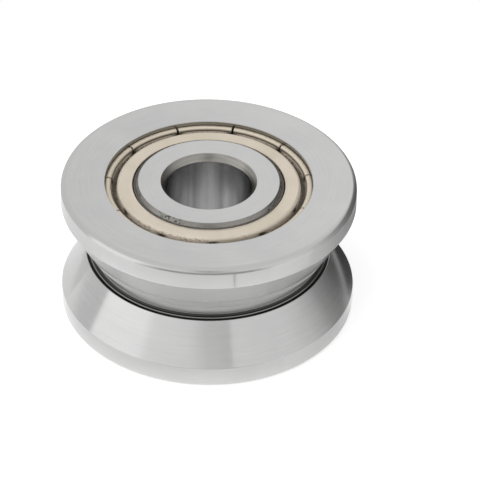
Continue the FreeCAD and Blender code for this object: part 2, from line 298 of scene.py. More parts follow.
# Honed bearing steel of the bore: smooth, with soft dark and light streaks along it
def makeHonedSteel():
    look = {
        "dark": "A2A2A2", "light": "C2C2C2", "streakWidth": 1.2, "toneFrom": 0.35, "toneTo": 0.65,
        "grainSize": 0.3, "grainDepth": 0.0003, "roughness": (0.24, 0.16),
    }
    material, tree, shader = startMaterial("honed bearing steel")
    place = readPlace(tree)
    streaks = addNode(tree, "TexNoise", {
        "Vector": place["outward"], "Scale": 1 / look["streakWidth"], "Detail": 1.0,
    })
    grain = addNode(tree, "TexNoise", {"Vector": place["point"], "Scale": 1 / look["grainSize"]})
    tone = addNode(tree, "MapRange", {0: streaks, 1: look["toneFrom"], 2: look["toneTo"]})
    colour = addNode(tree, "Mix", {
        "Factor": tone, 6: fromHex(look["dark"]), 7: fromHex(look["light"]),
    }, data_type="RGBA")
    dull, smooth = look["roughness"]
    roughness = addNode(tree, "MapRange", {0: streaks, 1: noiseLow, 2: noiseHigh, 3: dull, 4: smooth})
    finishMaterial(tree, shader, colour, roughness, grain, look["grainDepth"], 1.0)
    return material


# Turned bearing steel, as the lathe left it in the recesses and chamfers: darker and warmer, partly as
# painted shade of the recesses, with rings of the tool to be seen and short dark nicks where it was handled
def makeTurnedSteel():
    look = {
        "dark": "8A8883", "light": "B4B1AB", "edge": "96938E", "nick": "4A4743",
        "spacing": 0.14, "streaks": 1.5, "depth": 0.003, "roughness": (0.26, 0.34),
        "stretch": 0.5,
        "edgeReach": 0.5,       # mm to each side of the inner ring's outer edge
        "nickSize": 0.35, "nickFrom": 0.5, "nickTo": 0.58,
        "patchSize": 4.0, "patchFrom": 0.42, "patchTo": 0.56, "patchStrength": 0.9,
    }
    material, tree, shader = startMaterial("turned bearing steel")
    place = readPlace(tree)
    marks = turnedMarks(tree, look["spacing"], look["streaks"])
    tone = addNode(tree, "MapRange", {0: marks, 1: noiseLow, 2: noiseHigh})
    clean = addNode(tree, "Mix", {
        "Factor": tone, 6: fromHex(look["dark"]), 7: fromHex(look["light"]),
    }, data_type="RGBA")
    nicks = addNode(tree, "TexNoise", {
        "Vector": place["point"], "Scale": 1 / look["nickSize"], "Detail": 3.0,
    })
    nicks = addNode(tree, "MapRange", {0: nicks, 1: look["nickFrom"], 2: look["nickTo"]})
    patches = addNode(tree, "TexNoise", {"Vector": place["point"], "Scale": 1 / look["patchSize"]})
    patches = addNode(tree, "MapRange", {
        0: patches, 1: look["patchFrom"], 2: look["patchTo"], 4: look["patchStrength"],
    })
    nicked = addNode(tree, "Math", {0: nicks, 1: patches}, operation="MULTIPLY")
    onEdge = addNode(tree, "Math", {
        0: place["radius"], 1: innerLand, 2: look["edgeReach"],
    }, operation="COMPARE")
    nicked = addNode(tree, "Math", {0: nicked, 1: onEdge}, operation="MULTIPLY")
    # the inner ring's outer edge a little darker: painted shade beside the shield's gap
    clean = addNode(tree, "Mix", {
        "Factor": onEdge, 6: clean, 7: fromHex(look["edge"]),
    }, data_type="RGBA")
    colour = addNode(tree, "Mix", {
        "Factor": nicked, 6: clean, 7: fromHex(look["nick"]),
    }, data_type="RGBA")
    smooth, rough = look["roughness"]
    roughness = addNode(tree, "MapRange", {0: marks, 1: noiseLow, 2: noiseHigh, 3: smooth, 4: rough})
    finishMaterial(tree, shader, colour, roughness, marks, look["depth"], 1.0)
    stretchHighlight(tree, shader, look["stretch"])
    return material


# Outer ring: V groove with a relief at its root, a shield seat in each face, two raceways
outerRing = {
    "rimBand": 3.05,
    "rimRound": 0.8,
    "lipBreak": 0.08,
    "rootBreak": 0.03,
    "veeAngle": 120.0,
    "reliefWidth": 2.3,
    "reliefDepth": 1.0,
    "reliefRound": 0.3,
    "beadReach": 0.36,      # from the relief's floor to the crest of a fine bead in its corner
    "beadRise": 0.05,
    "stepInset": 0.13,      # land left between the relief's outer groove and the flank
    "stepWidth": 0.2,
    "stepDepth": 0.16,
    "toolRings": (0.5, 0.7),    # heights of the fine rings cut in the relief's floor
    "toolRingWidth": 0.11,
    "toolRingDepth": 0.06,
    "seatLedge": 1.3,
    "seatHeight": 8.0,      # above the middle plane
    "mouthLip": 0.2,
    "mouthDepth": 0.65,
    "mouthBreak": 0.12,
    "edgeBreak": 0.05,
    "seatMargin": 0.1,      # the recess keeps its turned finish this far past the undercut
    "turnSteps": 240,
}
undercutRadius = outerLand + outerRing["seatLedge"]
mouthRadius = undercutRadius - outerRing["mouthLip"]
flankRise = math.tan(math.radians(90 - outerRing["veeAngle"] / 2))
rootRadius = rimRadius - (halfWidth - outerRing["rimBand"] - outerRing["reliefWidth"] / 2) * flankRise


# Relief at the root of the groove: turned clean and left bright, with painted shade, almost black,
# in its corners and in its fine step groove
def makeReliefSteel():
    look = {
        "floor": "A6A6A5", "wall": "B4B4B3", "oil": "484846",
        "wallFrom": 0.1,                    # mm out from the floor
        "paintedShadeFull": 0.3, "paintedShadeEnd": 0.42,     # mm from the relief's corner
        "stepFrom": 0.12, "stepTo": 0.47,   # mm inside the root, painted shade in and beside the step groove
        "spacing": 0.2, "streaks": 2.0, "depth": 0.0003, "roughness": (0.26, 0.34),
    }
    size = outerRing
    floor = rootRadius - size["reliefDepth"]
    stepMiddle = rootRadius - (look["stepFrom"] + look["stepTo"]) / 2
    stepReach = (look["stepTo"] - look["stepFrom"]) / 2
    material, tree, shader = startMaterial("oiled turned steel")
    place = readPlace(tree)
    radius = place["radius"]
    marks = turnedMarks(tree, look["spacing"], look["streaks"])
    fromCorner = addNode(tree, "CombineXYZ", {
        0: addNode(tree, "Math", {0: radius, 1: floor}, operation="SUBTRACT"),
        1: addNode(tree, "Math", {0: place["height"], 1: size["reliefWidth"] / 2}, operation="SUBTRACT"),
    })
    fromCorner = addNode(tree, "VectorMath", {0: fromCorner}, operation="LENGTH").node.outputs["Value"]
    # painted shade, almost black, in the relief's corners behind the bead and in and beside the step groove
    oil = addNode(tree, "MapRange", {
        0: fromCorner, 1: look["paintedShadeFull"], 2: look["paintedShadeEnd"], 3: 1.0, 4: 0.0,
    })
    behindBead = addNode(tree, "Math", {0: radius, 1: floor + size["beadReach"]}, operation="LESS_THAN")
    oil = addNode(tree, "Math", {0: oil, 1: behindBead}, operation="MULTIPLY")
    inStep = addNode(tree, "Math", {0: radius, 1: stepMiddle, 2: stepReach}, operation="COMPARE")
    oil = addNode(tree, "Math", {0: oil, 1: inStep}, operation="MAXIMUM")
    onWall = addNode(tree, "Math", {0: radius, 1: floor + look["wallFrom"]}, operation="GREATER_THAN")
    clean = addNode(tree, "Mix", {
        "Factor": onWall, 6: fromHex(look["floor"]), 7: fromHex(look["wall"]),
    }, data_type="RGBA")
    colour = addNode(tree, "Mix", {"Factor": oil, 6: clean, 7: fromHex(look["oil"])}, data_type="RGBA")
    smooth, rough = look["roughness"]
    roughness = addNode(tree, "MapRange", {0: marks, 1: noiseLow, 2: noiseHigh, 3: smooth, 4: rough})
    finishMaterial(tree, shader, colour, roughness, marks, look["depth"], 1.0)
    return material


# A bead in the gap beside the shield, dull, grey and brown: painted shade of the gap
def makeGapShadeFill():
    look = {
        "dark": "45423D", "light": "5F5B54", "toneFrom": 0.35, "toneTo": 0.65,
        "lumpSize": 0.3, "lumpDepth": 0.02, "roughness": (0.45, 0.6),
    }
    material, tree, shader = startMaterial("dusty grease")
    place = readPlace(tree)
    lumps = addNode(tree, "TexNoise", {
        "Vector": place["point"], "Scale": 1 / look["lumpSize"], "Detail": 3.0,
    })
    tone = addNode(tree, "MapRange", {0: lumps, 1: look["toneFrom"], 2: look["toneTo"]})
    colour = addNode(tree, "Mix", {
        "Factor": tone, 6: fromHex(look["dark"]), 7: fromHex(look["light"]),
    }, data_type="RGBA")
    smooth, rough = look["roughness"]
    roughness = addNode(tree, "MapRange", {0: lumps, 1: noiseLow, 2: noiseHigh, 3: smooth, 4: rough})
    finishMaterial(tree, shader, colour, roughness, lumps, look["lumpDepth"], 0.0)
    return material


groundSteel = makeGroundSteel()
honedSteel = makeHonedSteel()
turnedSteel = makeTurnedSteel()
reliefSteel = makeReliefSteel()
gapShadeFill = makeGapShadeFill()
print("ring finishes ready")


def makeOuterRing():
    size = outerRing
    groove = size["reliefWidth"] / 2
    lip = halfWidth - size["rimBand"]
    floor = rootRadius - size["reliefDepth"]
    mouth = halfWidth - size["mouthDepth"]
    stepOut = rootRadius - size["stepInset"]
    stepIn = stepOut - size["stepWidth"]
    half = size["toolRingWidth"] / 2
    toolRings = []
    for height in size["toolRings"]:
        toolRings.append((floor, height - half))
        toolRings.append((floor - size["toolRingDepth"], height))
        toolRings.append((floor, height + half))
    bead, crest = floor + size["beadReach"], groove - size["beadRise"]
    piece = drawSection("outer_ring_turned", (floor, 0), toolRings + [
        (floor, crest), (bead, crest), (bead + size["beadRise"], groove),
        (stepIn, groove), (stepIn, groove + size["stepDepth"]),
        (stepOut, groove + size["stepDepth"]), (stepOut, groove),
        (rootRadius, groove), (rimRadius, lip), (rimRadius, halfWidth),
        (mouthRadius, halfWidth), (mouthRadius, mouth),
        (undercutRadius, mouth), (undercutRadius, size["seatHeight"]),
        (outerLand, size["seatHeight"]), (outerLand, rowHeight + racewayChord),
        (outerContact - raceway["radius"], rowHeight, -2 * racewayAngle),
        (outerLand, 0),
    ])
    rounds = (
        ([(floor, crest)], size["reliefRound"], 5),
        ([(rimRadius, halfWidth)], size["rimRound"], 9),
        ([(rimRadius, lip)], size["lipBreak"], 2),
        ([(rootRadius, groove)], size["rootBreak"], 2),
        ([(mouthRadius, halfWidth)], size["mouthBreak"], 3),
        ([(stepIn, groove), (outerLand, size["seatHeight"])], size["edgeBreak"], 2),
    )
    for corners, width, segments in rounds:
        roundCorners(corners, width, segments)
    turnSection(size["turnSteps"])
    mirrorAndRaise(piece)
    for finish in (groundSteel, turnedSteel, reliefSteel):
        piece.data.materials.append(finish)
    for face in piece.data.polygons:
        middle = face.center / mm - Vector((0, 0, halfWidth))
        across = math.hypot(middle.x, middle.y)
        # recess faces take the turned steel, whose darker tone is partly painted shade
        inRecess = across < undercutRadius + size["seatMargin"]
        if inRecess and abs(middle.z) < halfWidth - size["mouthBreak"]:
            face.material_index = 1
        elif across < rootRadius - size["lipBreak"] and abs(middle.z) < lip:
            face.material_index = 2
    finishPiece(piece, "outer_race", "outer_ring")


makeOuterRing()


# Inner ring: plain bore with deep lead-in chamfers, narrow chamfers at the outer edges
innerRing = {
    "boreRadius": 6.0,
    "boreChamferWidth": 0.67,
    "boreChamferLength": 1.0,
    "edgeChamferWidth": 0.42,
    "edgeChamferLength": 0.55,
    "gapFillReach": 0.22,        # bead in the gap below the edge, in painted shade, from the land towards the shield
    "gapFillDrop": 0.05,
    "gapFillLength": 0.4,
    "edgeBreak": 0.04,
    "chamferSlope": (0.3, 0.9),     # of a face's normal along the axis: 0 in the bore, 1 on a flat end
    "chamferMargin": 0.1,
    "finishMargin": 0.01,           # finishes change this far past the bore and the land
    "turnSteps": 200,
}


def makeInnerRing():
    size = innerRing
    bore, chamfer = size["boreRadius"], size["boreRadius"] + size["boreChamferWidth"]
    edge = innerLand - size["edgeChamferWidth"]
    boreEnd = halfWidth - size["boreChamferLength"]
    edgeEnd = halfWidth - size["edgeChamferLength"]
    gapFill = innerLand + size["gapFillReach"]
    gapFillTop = edgeEnd - size["gapFillDrop"]
    gapFillEnd = gapFillTop - size["gapFillLength"]
    piece = drawSection("inner_ring_turned", (bore, 0), [
        (bore, boreEnd), (chamfer, halfWidth), (edge, halfWidth),
        (innerLand, edgeEnd), (innerLand, gapFillTop), (gapFill, gapFillTop - size["gapFillDrop"]),
        (gapFill, gapFillEnd), (innerLand, gapFillEnd), (innerLand, rowHeight + racewayChord),
        (innerContact + raceway["radius"], rowHeight, 2 * racewayAngle),
        (innerLand, 0),
    ])
    corners = [(bore, boreEnd), (chamfer, halfWidth), (edge, halfWidth), (innerLand, edgeEnd)]
    roundCorners(corners, size["edgeBreak"], 2)
    turnSection(size["turnSteps"])
    mirrorAndRaise(piece)
    for finish in (groundSteel, honedSteel, turnedSteel, gapShadeFill):
        piece.data.materials.append(finish)
    leastSlope, mostSlope = size["chamferSlope"]
    for face in piece.data.polygons:
        across = math.hypot(face.center.x, face.center.y) / mm
        height = abs(face.center.z / mm - halfWidth)
        sloped = leastSlope < abs(face.normal.z) < mostSlope
        # faces out past the land are the bead in the gap, coloured as painted shade
        if across > innerLand + size["finishMargin"]:
            face.material_index = 3
        elif across < bore + size["finishMargin"]:
            face.material_index = 1
        elif sloped and height > boreEnd - size["chamferMargin"]:
            face.material_index = 2
    finishPiece(piece, "inner_race", "inner_ring")


makeInnerRing()


# Shields: drawn as the middle line of the sheet, turned, slit, then given its thickness
shield = {
    "gap": 0.4,             # to the inner ring
    "thickness": 0.3,
    "edgeStrip": 0.5,       # first ring of faces, beside the inner edge
    "setback": 0.5,
    "shoulderBend": 0.15,   # inner radius of each bend
    "shoulderWall": 0.25,
    "channelWidth": 0.8,
    "curlBend": 0.2,
    "curlClearance": 0.08,
    "curlSetback": 0.55,
    "footHeight": 8.0,      # above the middle plane
    "slitCount": 11,
    "stepsPerSlit": 23,     # one of them is the slit: 0.35 mm at the curl
    "slitPhase": 10.9,
    "edgeRound": 0.03,
    "edgeAngle": 60,        # edges sharper than this are rounded
}

sheetHalf = shield["thickness"] / 2
curlRadius = shield["curlBend"] + sheetHalf             # of the sheet's middle line, as all of these
channelRadius = shield["channelWidth"] / 2 + sheetHalf
curlOut = undercutRadius - shield["curlClearance"] - sheetHalf
curlCentre = curlOut - curlRadius
channelCentre = curlCentre - curlRadius - channelRadius
shoulderOut = channelCentre - channelRadius
flatLevel = halfWidth - shield["setback"] - sheetHalf


# Pressed steel with a yellow zinc plate, nearly cream and softly cloudy. Painted shade makes it brown
# and dull in its channel, beside the crest of its curl and at the slits; specks of dust lie below the flat
def makeZincSteel():
    look = {
        "dark": "D8CEBC", "light": "E5DACB", "curl": "DBD0BE", "shadeAndDirt": "4B4238",
        "cloudSize": 5.0, "grainSize": 0.2, "grainDepth": 0.0006,
        "uneven": 0.12,                             # mm that the edge of the painted shade strays up and down
        "channelFrom": 0.62, "channelTo": 1.05,     # mm below the flat
        "crestInset": 0.05,                         # mm from the curl's middle to the cleanest line
        "crestFrom": 0.28, "crestTo": 0.44,         # mm to each side of it
        "markFull": 0.3, "markWidth": 1.3,          # mm to each side of a slit
        "markFrom": 0.42, "markTo": 0.6,            # mm below the flat
        "speckSize": 0.4, "patchSize": 5.0, "dirtFrom": 0.5, "dirtTo": 0.62, "dirtStrength": 0.42,
        "dirtDepth": 0.14, "dirtFade": 0.1,         # mm below the flat, where the specks begin
        "bendFrom": 0.0, "bendTo": 0.16, "bloom": 0.9,      # dull whitish bloom of the plate on the bend
        "roughness": 0.34, "dullRoughness": 0.6,
    }
    material, tree, shader = startMaterial("yellow zinc plated steel")
    place = readPlace(tree)
    radius = place["radius"]
    clouds = addNode(tree, "TexNoise", {
        "Vector": place["point"], "Scale": 1 / look["cloudSize"], "Detail": 3.0,
    })
    grain = addNode(tree, "TexNoise", {"Vector": place["point"], "Scale": 1 / look["grainSize"]})
    uneven = addNode(tree, "MapRange", {
        0: grain, 1: noiseLow, 2: noiseHigh, 3: -look["uneven"], 4: look["uneven"],
    })
    depth = addNode(tree, "Math", {0: flatLevel + sheetHalf, 1: place["height"]}, operation="SUBTRACT")
    depth = addNode(tree, "Math", {0: depth, 1: uneven}, operation="ADD")
    # painted shade in the channel, deeper than this below the flat
    channel = addNode(tree, "MapRange", {0: depth, 1: look["channelFrom"], 2: look["channelTo"]})
    # painted shade on the sides of the curl, away from its crest
    crest = addNode(tree, "Math", {0: radius, 1: curlCentre - look["crestInset"]}, operation="SUBTRACT")
    crest = addNode(tree, "Math", {0: crest}, operation="ABSOLUTE")
    crest = addNode(tree, "MapRange", {0: crest, 1: look["crestFrom"], 2: look["crestTo"]})
    curlStart = curlCentre - curlRadius - sheetHalf
    onCurl = addNode(tree, "Math", {0: radius, 1: curlStart}, operation="GREATER_THAN")
    shadeAndDirt = addNode(tree, "MapRange", {0: onCurl, 3: channel, 4: crest})
    # painted shadow at each slit, below the flat
    pitch = math.pi / shield["slitCount"]
    firstSlit = math.radians(shield["slitPhase"])
    fromSlit = addNode(tree, "Math", {0: place["turn"], 1: firstSlit}, operation="SUBTRACT")
    fromSlit = addNode(tree, "Math", {0: fromSlit, 1: pitch}, operation="PINGPONG")
    fromSlit = addNode(tree, "Math", {0: fromSlit, 1: radius}, operation="MULTIPLY")
    mark = addNode(tree, "MapRange", {
        0: fromSlit, 1: look["markFull"], 2: look["markWidth"], 3: 1.0, 4: 0.0,
    })
    low = addNode(tree, "MapRange", {0: depth, 1: look["markFrom"], 2: look["markTo"]})
    mark = addNode(tree, "Math", {0: mark, 1: low}, operation="MULTIPLY")
    shadeAndDirt = addNode(tree, "Math", {0: shadeAndDirt, 1: mark}, operation="MAXIMUM")
    specks = addNode(tree, "TexNoise", {
        "Vector": place["point"], "Scale": 1 / look["speckSize"], "Detail": 3.0,
    })
    specks = addNode(tree, "MapRange", {0: specks, 1: look["dirtFrom"], 2: look["dirtTo"]})
    patches = addNode(tree, "TexNoise", {"Vector": place["point"], "Scale": 1 / look["patchSize"]})
    patches = addNode(tree, "MapRange", {
        0: patches, 1: look["dirtFrom"], 2: look["dirtTo"], 4: look["dirtStrength"],
    })
    lowered = addNode(tree, "MapRange", {
        0: depth, 1: look["dirtDepth"], 2: look["dirtDepth"] + look["dirtFade"],
    })
    specks = addNode(tree, "Math", {0: specks, 1: patches}, operation="MULTIPLY")
    specks = addNode(tree, "Math", {0: specks, 1: lowered}, operation="MULTIPLY")
    shadeAndDirt = addNode(tree, "Math", {0: shadeAndDirt, 1: specks}, operation="MAXIMUM")
    tone = addNode(tree, "MapRange", {0: clouds, 1: noiseLow, 2: noiseHigh})
    clean = addNode(tree, "Mix", {
        "Factor": tone, 6: fromHex(look["dark"]), 7: fromHex(look["light"]),
    }, data_type="RGBA")
    clean = addNode(tree, "Mix", {
        "Factor": onCurl, 6: clean, 7: fromHex(look["curl"]),
    }, data_type="RGBA")
    colour = addNode(tree, "Mix", {
        "Factor": shadeAndDirt, 6: clean, 7: fromHex(look["shadeAndDirt"]),
    }, data_type="RGBA")
    bend = addNode(tree, "MapRange", {
        0: depth, 1: look["bendFrom"], 2: look["bendTo"], 3: look["roughness"], 4: look["dullRoughness"],
    })
    roughness = addNode(tree, "MapRange", {0: shadeAndDirt, 3: bend, 4: look["dullRoughness"]})
    metallic = addNode(tree, "MapRange", {
        0: depth, 1: look["bendFrom"], 2: look["bendTo"], 3: 1.0, 4: 1.0 - look["bloom"],
    })
    finishMaterial(tree, shader, colour, roughness, grain, look["grainDepth"], metallic)
    return material


zincSteel = makeZincSteel()


def makeShields():
    size = shield
    bend = size["shoulderBend"] + sheetHalf
    curlIn = curlCentre - curlRadius
    innerRadius = innerLand + size["gap"]
    shoulderLevel = flatLevel - bend
    channelLevel = shoulderLevel - size["shoulderWall"]
    curlLevel = halfWidth - size["curlSetback"] - sheetHalf - curlRadius
    piece = drawSection("upper_shield_pressed", (innerRadius, flatLevel), [
        (innerRadius + size["edgeStrip"], flatLevel), (shoulderOut - bend, flatLevel),
        (shoulderOut - bend, shoulderLevel, -90), (shoulderOut, channelLevel),
        (channelCentre, channelLevel, 180), (curlIn, curlLevel),
        (curlCentre, curlLevel, -180), (curlOut, size["footHeight"]),
    ], arcSteps=10)
    turnSteps = size["slitCount"] * size["stepsPerSlit"]
    turnSection(turnSteps)
    bpy.ops.mesh.select_all(action="SELECT")
    firstSlit = math.radians(size["slitPhase"] - 180 / turnSteps)
    bpy.ops.transform.rotate(value=-firstSlit, orient_axis="Z", center_override=(0, 0, 0))
    pitch = 360 / size["slitCount"]

    # one column of faces to each slit, as high as the curl
    def inSlit(middle):
        turn = math.degrees(math.atan2(middle.y, middle.x)) - size["slitPhase"]
        turn = (turn + pitch / 2) % pitch - pitch / 2
        return math.hypot(middle.x, middle.y) > curlIn - sheetHalf and abs(turn) < 90 / turnSteps

    selectWhere("faces", inSlit)
    bpy.ops.mesh.delete(type="FACE")
    bpy.ops.object.mode_set(mode="OBJECT")
    bpy.ops.object.modifier_add(type="SOLIDIFY")
    wall = piece.modifiers[-1]
    wall.thickness = size["thickness"] * mm
    wall.offset = 0.0
    wall.use_even_offset = True
    bpy.ops.object.modifier_apply(modifier=wall.name)
    bpy.ops.object.modifier_add(type="BEVEL")
    edges = piece.modifiers[-1]
    edges.width = size["edgeRound"] * mm
    edges.segments = 2
    edges.limit_method = "ANGLE"
    edges.angle_limit = math.radians(size["edgeAngle"])
    bpy.ops.object.modifier_apply(modifier=edges.name)
    lower = piece.copy()
    lower.data = piece.data.copy()
    lower.name = lower.data.name = "lower_shield_pressed"
    bpy.context.scene.collection.objects.link(lower)
    for item, node, flipped in ((piece, "upper_shield", False), (lower, "lower_shield", True)):
        bpy.ops.object.select_all(action="DESELECT")
        item.select_set(True)
        bpy.context.view_layer.objects.active = item
        bpy.ops.object.mode_set(mode="EDIT")
        bpy.ops.mesh.select_all(action="SELECT")
        if flipped:
            bpy.ops.transform.resize(value=(1, 1, -1), center_override=(0, 0, 0))
        bpy.ops.transform.translate(value=(0, 0, halfWidth * mm))
        bpy.ops.mesh.normals_make_consistent(inside=False)
        bpy.ops.object.mode_set(mode="OBJECT")
        item.data.materials.append(zincSteel)
        finishPiece(item, "outer_race", node, smoothBelow=40)


makeShields()


# Moulded black nylon: a soft sheen over a fine spark eroded grain
def makeNylon():
    look = {
        "dark": "141516", "light": "1E1F21", "grainSize": 0.2, "grainDepth": 0.004,
        "roughness": (0.42, 0.55), "refraction": 1.53,
    }
    material, tree, shader = startMaterial("moulded black nylon")
    place = readPlace(tree)
    grain = addNode(tree, "TexNoise", {"Vector": place["point"], "Scale": 1 / look["grainSize"]})
    colour = addNode(tree, "Mix", {
        "Factor": grain, 6: fromHex(look["dark"]), 7: fromHex(look["light"]),
    }, data_type="RGBA")
    smooth, rough = look["roughness"]
    roughness = addNode(tree, "MapRange", {0: grain, 1: noiseLow, 2: noiseHigh, 3: smooth, 4: rough})
    finishMaterial(tree, shader, colour, roughness, grain, look["grainDepth"], 0.0)
    shader.inputs["IOR"].default_value = look["refraction"]
    return material


# Lapped bearing steel: close to a mirror, with hair marks in every direction
def makeLappedSteel():
    look = {
        "dark": "CBCCCE", "light": "D8D9DA", "markSize": 0.6, "markDepth": 0.0002,
        "roughness": (0.05, 0.11),
    }
    material, tree, shader = startMaterial("lapped bearing steel")
    place = readPlace(tree)
    marks = addNode(tree, "TexNoise", {
        "Vector": place["point"], "Scale": 1 / look["markSize"], "Detail": 5.0,
    })
    colour = addNode(tree, "Mix", {
        "Factor": marks, 6: fromHex(look["dark"]), 7: fromHex(look["light"]),
    }, data_type="RGBA")
    smooth, rough = look["roughness"]
    roughness = addNode(tree, "MapRange", {0: marks, 1: noiseLow, 2: noiseHigh, 3: smooth, 4: rough})
    finishMaterial(tree, shader, colour, roughness, marks, look["markDepth"], 1.0)
    return material


# Balls and cages keep their solids and get their finish
blackNylon = makeNylon()
lappedSteel = makeLappedSteel()
for name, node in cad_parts.items():
    if "cage" in name or "ball" in name:
        node.data.materials.clear()
        node.data.materials.append(blackNylon if "cage" in name else lappedSteel)
print("balls and cages dressed")


# Studio: white table, walls that fade on the right, a bright window behind, one soft lamp
studio = {
    "tableRadius": 0.075,   # metres
    "tableSides": 96,
    "tableColour": "EFEFEF",
    "tableGlow": 0.45,      # for the eye
    "tableMirrored": ((20.5, 0.42), (24.5, 0.16)),      # mm from the axis and brightness, for reflections
    "ceiling": 0.82,
    "wallTop": 26.0,
    "ceilingStart": 40.0,
    # turn from +X and brightness, of the walls and of the room below the table's edge
    "walls": [
        (-180, 1.22), (-142, 1.22), (-134, 1.04), (-104, 0.98), (-88, 0.82), (-71.5, 0.70), (-69.5, 0.94),
        (-28, 0.90), (-14, 0.80), (-1, 0.64), (12, 0.42), (24, 0.28), (35, 0.18), (50, 0.13), (62, 0.3),
        (85, 0.8), (128, 0.80), (177, 0.76), (179, 1.22),
    ],
    "room": [
        (-180, 1.22), (-142, 1.22), (-132, 0.9), (-122, 0.42), (-60, 0.38), (-48, 0.88),
        (-28, 0.90), (-14, 0.80), (-1, 0.64), (12, 0.42), (24, 0.28), (35, 0.18), (50, 0.13), (62, 0.3),
        (85, 0.8), (128, 0.80), (177, 0.76), (179, 1.22),
    ],
    "roomTop": 14.0,
    # soft spots on the surround: turn, rise, half width and brightness
    "spots": [(-90.0, 36.7, 9.0, 0.3), (78.0, 30.0, 12.0, 0.97)],
    "spotStart": 1.3, "spotFull": 0.7,      # of the half width, where a spot starts and is full
}


def makeTable():
    bpy.ops.mesh.primitive_circle_add(
        vertices=studio["tableSides"], radius=studio["tableRadius"], fill_type="NGON",
    )
    table = bpy.context.object
    table.name = "table"
    material, tree, shader = startMaterial("matt white paper")
    rays = addNode(tree, "LightPath", {}).node.outputs
    mirrored = addNode(tree, "Math", {
        0: rays["Is Glossy Ray"], 1: rays["Is Transmission Ray"],
    }, operation="MAXIMUM")
    radius = readPlace(tree)["radius"]
    near, far = studio["tableMirrored"]
    level = addNode(tree, "MapRange", {0: radius, 1: near[0], 2: far[0], 3: near[1], 4: far[1]})
    mirrored = addNode(tree, "Math", {0: mirrored, 1: level}, operation="MULTIPLY")
    seen = addNode(tree, "Math", {
        0: rays["Is Camera Ray"], 1: studio["tableGlow"],
    }, operation="MULTIPLY")
    glow = addNode(tree, "Math", {0: seen, 1: mirrored}, operation="MAXIMUM")
    setInputs(tree, shader, {
        "Base Color": fromHex(studio["tableColour"]), "Roughness": 0.9, "Specular IOR Level": 0.0,
        "Emission Color": (1, 1, 1, 1), "Emission Strength": glow,
    })
    table.data.materials.append(material)


def fillRamp(ramp, tones):
    stops = ramp.color_ramp.elements
    for index, (turn, value) in enumerate(tones):
        stop = stops[index] if index < 2 else stops.new(1.0)
        stop.position = (turn + 180) / 360
        stop.color = (value, value, value, 1)


def pointAt(turn, rise):
    turn, rise = math.radians(turn), math.radians(rise)
    return Vector((math.cos(turn) * math.cos(rise), math.sin(turn) * math.cos(rise), math.sin(rise)))


def makeWorld():
    size = studio
    world = bpy.data.worlds.new("studio surround")
    bpy.context.scene.world = world
    world.use_nodes = True
    tree = world.node_tree
    tree.nodes.clear()
    look = addNode(tree, "TexCoord", {}).node.outputs["Generated"]
    parts = addNode(tree, "SeparateXYZ", {0: look}).node.outputs
    turn = addNode(tree, "Math", {0: parts["Y"], 1: parts["X"]}, operation="ARCTAN2")
    turn = addNode(tree, "MapRange", {0: turn, 1: -math.pi, 2: math.pi})
    walls = addNode(tree, "ValToRGB", {0: turn})
    fillRamp(walls.node, size["walls"])
    room = addNode(tree, "ValToRGB", {0: turn})
    fillRamp(room.node, size["room"])
    upper = addNode(tree, "MapRange", {
        0: parts["Z"],
        1: math.sin(math.radians(size["wallTop"])),
        2: math.sin(math.radians(size["ceilingStart"])),
    }, interpolation_type="SMOOTHSTEP")
    around = addNode(tree, "Mix", {
        "Factor": upper, 6: walls, 7: (size["ceiling"],) * 3 + (1.0,),
    }, data_type="RGBA")
    overTable = addNode(tree, "MapRange", {
        0: parts["Z"], 1: 0.0, 2: math.sin(math.radians(size["roomTop"])),
    }, interpolation_type="SMOOTHSTEP")
    around = addNode(tree, "Mix", {"Factor": overTable, 6: room, 7: around}, data_type="RGBA")
    for turn, rise, width, tone in size["spots"]:
        toward, width = pointAt(turn, rise), math.radians(width)
        near = addNode(tree, "VectorMath", {0: look, 1: toward}, operation="DOT_PRODUCT")
        near = addNode(tree, "MapRange", {
            0: near.node.outputs["Value"],
            1: math.cos(width * size["spotStart"]), 2: math.cos(width * size["spotFull"]),
        }, interpolation_type="SMOOTHSTEP")
        around = addNode(tree, "Mix", {
            "Factor": near, 6: around, 7: (tone, tone, tone, 1.0),
        }, data_type="RGBA")
    rays = addNode(tree, "LightPath", {}).node.outputs
    seen = addNode(tree, "Mix", {
        "Factor": rays["Is Camera Ray"], 6: around, 7: (1.0, 1.0, 1.0, 1.0),
    }, data_type="RGBA")
    background = addNode(tree, "Background", {"Color": seen, "Strength": 1.0})
    addNode(tree, "OutputWorld", {"Surface": background})


def makeLamp():
    lamp = {"turn": -150.0, "rise": 55.0, "distance": 0.6, "size": 0.5, "tone": 1.25}
    data = bpy.data.lights.new("softbox", "AREA")
    data.shape = "SQUARE"
    data.size = lamp["size"]
    data.energy = lamp["tone"] * math.pi * lamp["size"] ** 2
    item = bpy.data.objects.new("softbox", data)
    item.visible_glossy = False     # the steel mirrors the surround alone
    bpy.context.scene.collection.objects.link(item)
    out = pointAt(lamp["turn"], lamp["rise"])
    item.location = out * lamp["distance"]
    item.rotation_euler = out.to_track_quat("Z", "Y").to_euler()


def mirroredOnly(item, tree, shader, glow):
    # a card that the steel mirrors and nothing else sees
    for sight in ("camera", "diffuse", "transmission", "volume_scatter", "shadow"):
        setattr(item, "visible_" + sight, False)
    setInputs(tree, shader, {
        "Base Color": (0, 0, 0, 1), "Roughness": 1.0, "Specular IOR Level": 0.0,
        "Emission Color": (1, 1, 1, 1), "Emission Strength": glow,
    })


